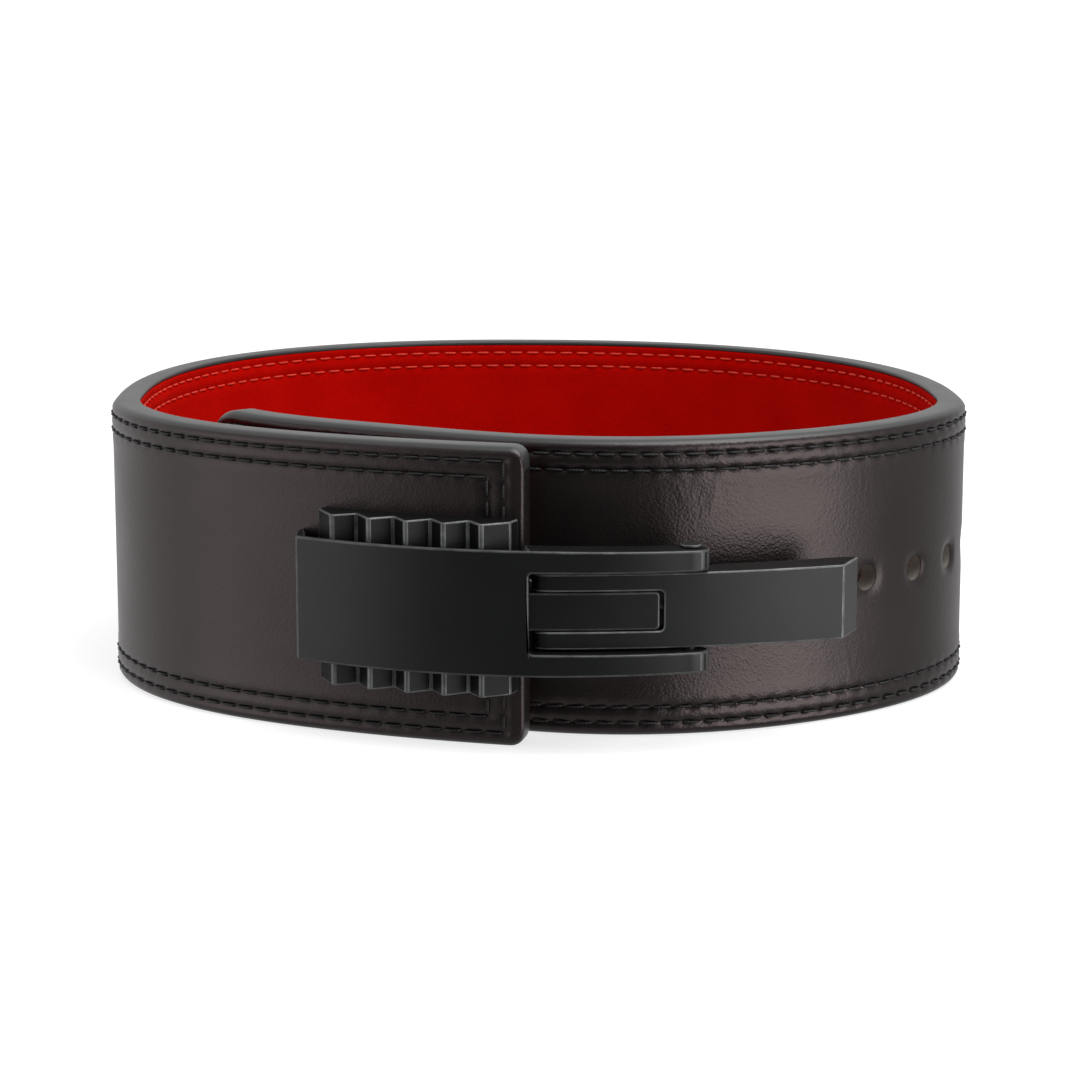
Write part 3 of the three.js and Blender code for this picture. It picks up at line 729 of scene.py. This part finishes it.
def build_creases(tree, entry, leave):
    """Soft creases: stretched ridges, one less the noise's distance from a half, kept where a slower
    noise is high."""
    stretch = add(tree, "ShaderNodeVectorMath", operation="MULTIPLY")
    stretch.inputs[1].default_value = (1.0, 0.35, 1.0)
    tree.links.new(entry.outputs["Vector"], stretch.inputs[0])
    ridge = add(tree, "ShaderNodeTexNoise", Detail=2.0, Roughness=0.5, Distortion=0.6)
    patch = add(tree, "ShaderNodeTexNoise", Detail=1.0)
    tree.links.new(stretch.outputs[0], ridge.inputs["Vector"])
    tree.links.new(entry.outputs["Vector"], patch.inputs["Vector"])
    tree.links.new(entry.outputs["Scale"], ridge.inputs["Scale"])
    tree.links.new(times(tree, entry.outputs["Scale"], 0.3), patch.inputs["Scale"])
    away = math_node(tree, "ABSOLUTE", math_node(tree, "SUBTRACT", ridge.outputs["Fac"], 0.5))
    off_line = math_node(tree, "MINIMUM", times(tree, away, 9.0), 1.0)
    line = math_node(tree, "SUBTRACT", 1.0, off_line)
    kept = math_node(tree, "SUBTRACT", patch.outputs["Fac"], 0.47)
    kept = math_node(tree, "MAXIMUM", times(tree, kept, 9.0), 0.0)
    kept = math_node(tree, "MINIMUM", kept, 1.0)
    tree.links.new(times(tree, line, kept), leave.inputs["Height"])


VECTOR, FLOAT = "NodeSocketVector", "NodeSocketFloat"
MOTTLE = effect_group(
    "colour_mottle", [("Vector", VECTOR, None), ("Scale", FLOAT, 30.0), ("Spread", FLOAT, 1.0)],
    [("Mask", FLOAT)], build_mottle)
GRAIN = effect_group(
    "skin_grain", [("Vector", VECTOR, None), ("Cell", FLOAT, 0.0008), ("Depth", FLOAT, 1.0)],
    [("Height", FLOAT), ("Mask", FLOAT)], build_grain)
CREASES = effect_group(
    "soft_creases", [("Vector", VECTOR, None), ("Scale", FLOAT, 60.0)],
    [("Height", FLOAT)], build_creases)


def use_group(tree, group, vector, **values):
    """Place an effect group in a material with its own values."""
    node = tree.nodes.new("ShaderNodeGroup")
    node.node_tree = group
    tree.links.new(vector, node.inputs["Vector"])
    for key, value in values.items():
        node.inputs[key].default_value = value
    return node


def new_material(name, **shader):
    """Material with a Principled shader whose plain sockets are set by name."""
    material = bpy.data.materials.new(name)
    material.use_nodes = True
    tree = material.node_tree
    surface = tree.nodes["Principled BSDF"]
    for key, value in shader.items():
        surface.inputs[key.replace("_", " ")].default_value = value
    return material, tree, surface


def bump(tree, surface, height, distance, strength):
    """Bump from a height in units of distance, into the shader's normal."""
    node = add(tree, "ShaderNodeBump", Strength=strength, Distance=distance)
    tree.links.new(height, node.inputs["Height"])
    tree.links.new(node.outputs["Normal"], surface.inputs["Normal"])


def attribute(tree, name):
    """A mask stored on the mesh, by name."""
    return add(tree, "ShaderNodeAttribute", attribute_name=name).outputs["Fac"]


def leather_material():
    """Waxed black leather: fine grain, soft creases, faint brown drift, dull cut edges in the holes,
    painted shade in the stitch grooves.
    """
    material, tree, surface = new_material(
        "black_waxed_leather", Specular_IOR_Level=0.5, Specular_Tint=(1.0, 0.80, 0.80, 1.0))
    where = tree.nodes.new("ShaderNodeUVMap")
    where.uv_map = "along_band"
    drift = use_group(tree, MOTTLE, where.outputs["UV"], Scale=26.0, Spread=1.6).outputs["Mask"]
    grain = use_group(tree, GRAIN, where.outputs["UV"], Cell=0.00085, Depth=1.0)
    crease = use_group(tree, CREASES, where.outputs["UV"], Scale=70.0).outputs["Height"]
    crease = times(tree, crease, attribute(tree, "crease"))
    seam, wear = attribute(tree, "seam"), attribute(tree, "wear")
    bore = math_node(tree, "MINIMUM", times(tree, attribute(tree, "bore"), 9.0), 1.0)
    skin = mix_colour(tree, drift, (0.0050, 0.0040, 0.0042), (0.0090, 0.0070, 0.0074))
    skin = mix_colour(tree, times(tree, grain.outputs["Mask"], 0.4), skin, (0.003, 0.0026, 0.0026))
    # painted shade: the leather is darkened along the stitch grooves, where the seam mask peaks
    skin = mix_colour(tree, times(tree, seam, 0.5), skin, (0.002, 0.0018, 0.0018))
    skin = mix_colour(tree, times(tree, bore, 0.9), skin, (0.17, 0.155, 0.135))
    tree.links.new(skin, surface.inputs["Base Color"])
    rough = plus(tree, 0.31, times(tree, drift, 0.12))
    rough = math_node(tree, "SUBTRACT", rough, times(tree, seam, 0.12))
    rough = math_node(tree, "SUBTRACT", rough, times(tree, wear, 0.06))
    rough = plus(tree, rough, times(tree, bore, 0.3))
    tree.links.new(rough, surface.inputs["Roughness"])
    rise = plus(tree, 0.75, times(tree, wear, 0.9))
    height = times(tree, grain.outputs["Height"], rise)
    height = plus(tree, height, times(tree, crease, 1.6))
    bump(tree, surface, height, 0.00012, 0.8)
    return material


def rim_material():
    """Painted leather edge: a thick satin coat with faint brush waves."""
    material, tree, surface = new_material("painted_leather_edge", Specular_IOR_Level=0.5)
    where = tree.nodes.new("ShaderNodeTexCoord")
    drift = use_group(tree, MOTTLE, where.outputs["Object"], Scale=60.0, Spread=1.5).outputs["Mask"]
    wave = use_group(tree, MOTTLE, where.outputs["Object"], Scale=420.0, Spread=1.2).outputs["Mask"]
    tone = mix_colour(tree, drift, (0.014, 0.0145, 0.015), (0.022, 0.0225, 0.023))
    tree.links.new(tone, surface.inputs["Base Color"])
    tree.links.new(plus(tree, 0.36, times(tree, drift, 0.10)), surface.inputs["Roughness"])
    bump(tree, surface, wave, 0.00008, 0.6)
    return material


def suede_material():
    """Red suede: brushed patches, a short nap in the normal and sheen, and painted shade darkening the sewn
    lines.
    """
    material, tree, surface = new_material(
        "red_suede_nap", Specular_IOR_Level=0.015, Roughness=1.0, Sheen_Weight=0.06, Sheen_Roughness=0.5,
        Sheen_Tint=(1.0, 0.05, 0.02, 1.0))
    where = tree.nodes.new("ShaderNodeUVMap")
    where.uv_map = "along_band"
    patches = use_group(tree, MOTTLE, where.outputs["UV"], Scale=38.0, Spread=2.2).outputs["Mask"]
    nap = use_group(tree, MOTTLE, where.outputs["UV"], Scale=1500.0, Spread=1.6).outputs["Mask"]
    seam = attribute(tree, "seam")
    bore = math_node(tree, "MINIMUM", times(tree, attribute(tree, "bore"), 3.0), 1.0)
    colour = mix_colour(tree, patches, (0.38, 0.0018, 0.0007), (0.48, 0.0028, 0.0010))
    colour = mix_colour(tree, times(tree, nap, 0.30), colour, (0.34, 0.0015, 0.0006))
    # painted shade: the suede is darkened along the stitch grooves
    colour = mix_colour(tree, times(tree, seam, 0.35), colour, (0.26, 0.0015, 0.0006))
    colour = mix_colour(tree, times(tree, bore, 0.95), colour, (0.09, 0.075, 0.065))
    tree.links.new(colour, surface.inputs["Base Color"])
    height = plus(tree, nap, times(tree, patches, 1.4))
    bump(tree, surface, height, 0.00025, 0.6)
    return material


def paint_material(name, colour, roughness, gloss):
    """Satin powder paint on metal: fine orange peel, with slightly uneven gloss."""
    material, tree, surface = new_material(name, Metallic=0.0, Specular_IOR_Level=gloss)
    where = tree.nodes.new("ShaderNodeTexCoord")
    drift = use_group(tree, MOTTLE, where.outputs["Object"], Scale=55.0, Spread=1.4).outputs["Mask"]
    peel = use_group(tree, MOTTLE, where.outputs["Object"], Scale=1700.0, Spread=1.0).outputs["Mask"]
    dark = tuple(0.82 * c for c in colour)
    tree.links.new(mix_colour(tree, drift, dark, colour), surface.inputs["Base Color"])
    rough = plus(tree, roughness, times(tree, drift, 0.07))
    tree.links.new(rough, surface.inputs["Roughness"])
    bump(tree, surface, peel, 0.00003, 0.5)
    return material


def rubbed_material(name, bare):
    """Edges where the paint is rubbed thin: bare metal coming through in uneven patches, in shares
    from nothing up to bare."""
    material, tree, surface = new_material(name, Specular_IOR_Level=0.4)
    where = tree.nodes.new("ShaderNodeTexCoord")
    worn = use_group(tree, MOTTLE, where.outputs["Object"], Scale=160.0, Spread=1.5).outputs["Mask"]
    peel = use_group(tree, MOTTLE, where.outputs["Object"], Scale=1700.0, Spread=1.0).outputs["Mask"]
    metal = tuple(0.55 * bare * c for c in (1.0, 1.02, 1.04))
    tone = mix_colour(tree, worn, (0.006, 0.0062, 0.0064), metal)
    tree.links.new(tone, surface.inputs["Base Color"])
    tree.links.new(times(tree, worn, bare), surface.inputs["Metallic"])
    tree.links.new(plus(tree, 0.27, times(tree, worn, 0.08)), surface.inputs["Roughness"])
    bump(tree, surface, peel, 0.00002, 0.4)
    return material


def thread_material(name, dark, light, roughness):
    """Twisted thread: slanting plies across the stitch in colour and height."""
    material, tree, surface = new_material(name, Roughness=roughness, Specular_IOR_Level=0.35)
    where = tree.nodes.new("ShaderNodeUVMap")
    where.uv_map = "along_band"
    split = tree.nodes.new("ShaderNodeSeparateXYZ")
    tree.links.new(where.outputs["UV"], split.inputs[0])
    along = times(tree, split.outputs["X"], 1000.0 / 1.1)
    around = times(tree, split.outputs["Y"], 1000.0)
    phase = times(tree, plus(tree, along, around), math.pi)
    ply = math_node(tree, "ABSOLUTE", math_node(tree, "SINE", phase))
    tree.links.new(mix_colour(tree, ply, dark, light), surface.inputs["Base Color"])
    bump(tree, surface, ply, 0.00012, 0.8)
    return material


def floor_material():
    """Plain pale studio floor: white to the camera with a faint shadow, open to every other ray."""
    material = bpy.data.materials.new("pale_floor")
    material.use_nodes = True
    tree = material.node_tree
    tree.nodes.clear()
    where = tree.nodes.new("ShaderNodeTexCoord")
    drift = use_group(tree, MOTTLE, where.outputs["Object"], Scale=1.5, Spread=0.4).outputs["Mask"]
    matt = tree.nodes.new("ShaderNodeBsdfDiffuse")
    tree.links.new(mix_colour(tree, drift, (0.90, 0.90, 0.90), (0.93, 0.93, 0.93)), matt.inputs["Color"])
    glow = add(tree, "ShaderNodeEmission", Strength=1.28)
    open_floor = tree.nodes.new("ShaderNodeBsdfTransparent")
    path = tree.nodes.new("ShaderNodeLightPath")
    seen = tree.nodes.new("ShaderNodeMixShader")
    seen.inputs[0].default_value = 0.56
    tree.links.new(matt.outputs[0], seen.inputs[1])
    tree.links.new(glow.outputs[0], seen.inputs[2])
    final = tree.nodes.new("ShaderNodeMixShader")
    tree.links.new(path.outputs["Is Camera Ray"], final.inputs[0])
    tree.links.new(open_floor.outputs[0], final.inputs[1])
    tree.links.new(seen.outputs[0], final.inputs[2])
    leave = tree.nodes.new("ShaderNodeOutputMaterial")
    tree.links.new(final.outputs[0], leave.inputs["Surface"])
    return material


def paint(obj, material):
    """Give a piece one finish all over."""
    obj.data.materials.clear()
    obj.data.materials.append(material)


leather = leather_material()
suede = suede_material()
edge_paint = rim_material()
buckle_paint = paint_material("satin_black_paint", (0.0044, 0.0047, 0.0049), 0.34, 0.30)
rack_paint = paint_material("dull_rack_paint", (0.0040, 0.0043, 0.0045), 0.38, 0.15)
rubbed_edge = rubbed_material("rubbed_paint_edge", 0.30)
handled_edge = rubbed_material("handled_paint_edge", 0.34)
soft_edge = rubbed_material("smooth_paint_edge", 0.14)
pin_paint = paint_material("blackened_pin", (0.016, 0.017, 0.0175), 0.28, 0.55)
black_thread = thread_material("black_thread", (0.003, 0.003, 0.003), (0.011, 0.010, 0.010), 0.5)
red_thread = thread_material("red_thread", (0.45, 0.012, 0.006), (0.75, 0.045, 0.02), 0.7)

split_finishes(leather_band(), "rim", leather, edge_paint)
paint(suede_lining(), suede)
paint(screws("cap_screws", HOLES[[HOOK_HOLE - 2, HOOK_HOLE]], 1.3, 1.2), pin_paint)
outside_rows = stitches("stitches_outside", 1, HALF, STITCH_LENGTH, THREAD_RADIUS)
paint(outside_rows, black_thread)
inside_rows = stitches(
    "stitches_inside", -1, -HALF, INNER_STITCH_LENGTH, INNER_THREAD_RADIUS)
paint(inside_rows, red_thread)


def corner_pair(x, height, radius):
    """Upper and lower corner at x of an opening or bar centred on the hardware's height."""
    return [(x + SHIFT[0], HARDWARE_HEIGHT + side * height / 2, radius) for side in (-1, 1)]


slot_corners = corner_pair(SLOT_END, SLOT_HEIGHT, 1.5)
hook_corners = corner_pair(HOOK_RIGHT, HOOK_HEIGHT, 1.5)
window_corners = corner_pair(FLAP_END[0] + WINDOW_FROM_FLAP, WINDOW_HEIGHT, 1.2)
rack_coats = (rack_paint, rubbed_edge)
plain_coats = (buckle_paint, soft_edge)
lever_coats = (buckle_paint, handled_edge)
pin_coats = (pin_paint, rubbed_edge)
softened("rack_teeth", "tooth_rack", "strap", 0.55, rack_coats, ())
softened("frame_cover", "buckle_frame", "frame", 0.75, plain_coats, window_corners)
softened("lever_handle", "lever", "handle", 0.6, lever_coats, slot_corners)
softened("hook_tongue", "hook_plate", "strap", 0.7, plain_coats, hook_corners)
softened("pivot_bar", "toggle_pin", "strap", 0.2, pin_coats, ())
softened("hinge_bar", "hinge_pin", "frame", 0.3, pin_coats, ())


# Studio

def soft_box(name, at, size, power):
    """Area light facing the middle of the belt."""
    light = bpy.data.lights.new(name, "AREA")
    light.shape = "RECTANGLE"
    light.size, light.size_y = size
    light.energy = power
    obj = bpy.data.objects.new(name, light)
    aim = np.array(LIT_POINT) - np.array(at)
    aim /= np.linalg.norm(aim)
    right = np.cross(aim, (0.0, 0.0, 1.0))
    right /= np.linalg.norm(right)
    up = np.cross(right, aim)
    turn = np.eye(4)
    turn[:3, 0], turn[:3, 1], turn[:3, 2], turn[:3, 3] = right, up, -aim, at
    obj.matrix_world = mathutils.Matrix(turn.tolist())
    obj.visible_camera = False
    bpy.context.scene.collection.objects.link(obj)


def lay_floor():
    """Pale floor, wide enough to fill the view."""
    floor_points = np.array([(-6, -6, 0), (6, -6, 0), (6, 6, 0), (-6, 6, 0)], float)
    mesh = bpy.data.meshes.new("floor")
    mesh.from_pydata(floor_points, [], [(0, 1, 2, 3)])
    floor = bpy.data.objects.new("floor", mesh)
    bpy.context.scene.collection.objects.link(floor)
    paint(floor, floor_material())


def hang_surround():
    """White surround, darker from the front, from below and from the right, and white to the camera."""
    world = bpy.data.worlds.new("surround")
    world.use_nodes = True
    tree = world.node_tree
    where = tree.nodes.new("ShaderNodeTexCoord")
    split = tree.nodes.new("ShaderNodeSeparateXYZ")
    tree.links.new(where.outputs["Generated"], split.inputs[0])
    front = ramp(tree, split.outputs["Y"], -0.35, -0.92, 0.9, 0.03)
    below = ramp(tree, split.outputs["Z"], -0.9, -0.25, 0.3, 1.0)
    side = ramp(tree, split.outputs["X"], 0.3, 0.95, 1.0, 0.52)
    ground = ramp(tree, split.outputs["Z"], -0.20, -0.42, 0.0, 0.45)
    path = tree.nodes.new("ShaderNodeLightPath")
    shade = times(tree, front, below)
    shade = math_node(tree, "MAXIMUM", shade, ground)
    shade = times(tree, shade, side)
    shade = math_node(tree, "MAXIMUM", shade, path.outputs["Is Camera Ray"])
    back = tree.nodes["Background"]
    tree.links.new(shade, back.inputs["Strength"])
    back.inputs["Color"].default_value = (1.0, 1.0, 1.0, 1.0)
    bpy.context.scene.world = world


def set_camera():
    """The camera at the photograph's angle and distance."""
    data = bpy.data.cameras.new("photo_camera")
    data.sensor_width = 36.0
    data.lens = CAMERA_LENS
    data.clip_start, data.clip_end = 0.05, 50.0
    camera = bpy.data.objects.new("photo_camera", data)
    bpy.context.scene.collection.objects.link(camera)
    x, y, z = CAMERA_AT
    camera.location = ((x + SHIFT[0]) * MM, (y + SHIFT[1]) * MM, z * MM)
    camera.rotation_euler = (math.radians(90 - CAMERA_PITCH), 0.0, 0.0)
    bpy.context.scene.camera = camera


lay_floor()
hang_surround()
soft_box("top_box", (0.5, -0.35, 1.4), (1.4, 0.9), 21.0)
soft_box("right_box", (0.88, -0.83, 0.05), (1.0, 0.9), 9.5)
soft_box("left_box", (-1.15, -0.62, 0.05), (0.95, 0.9), 2.6)
set_camera()
bpy.context.scene.view_settings.view_transform = "Standard"
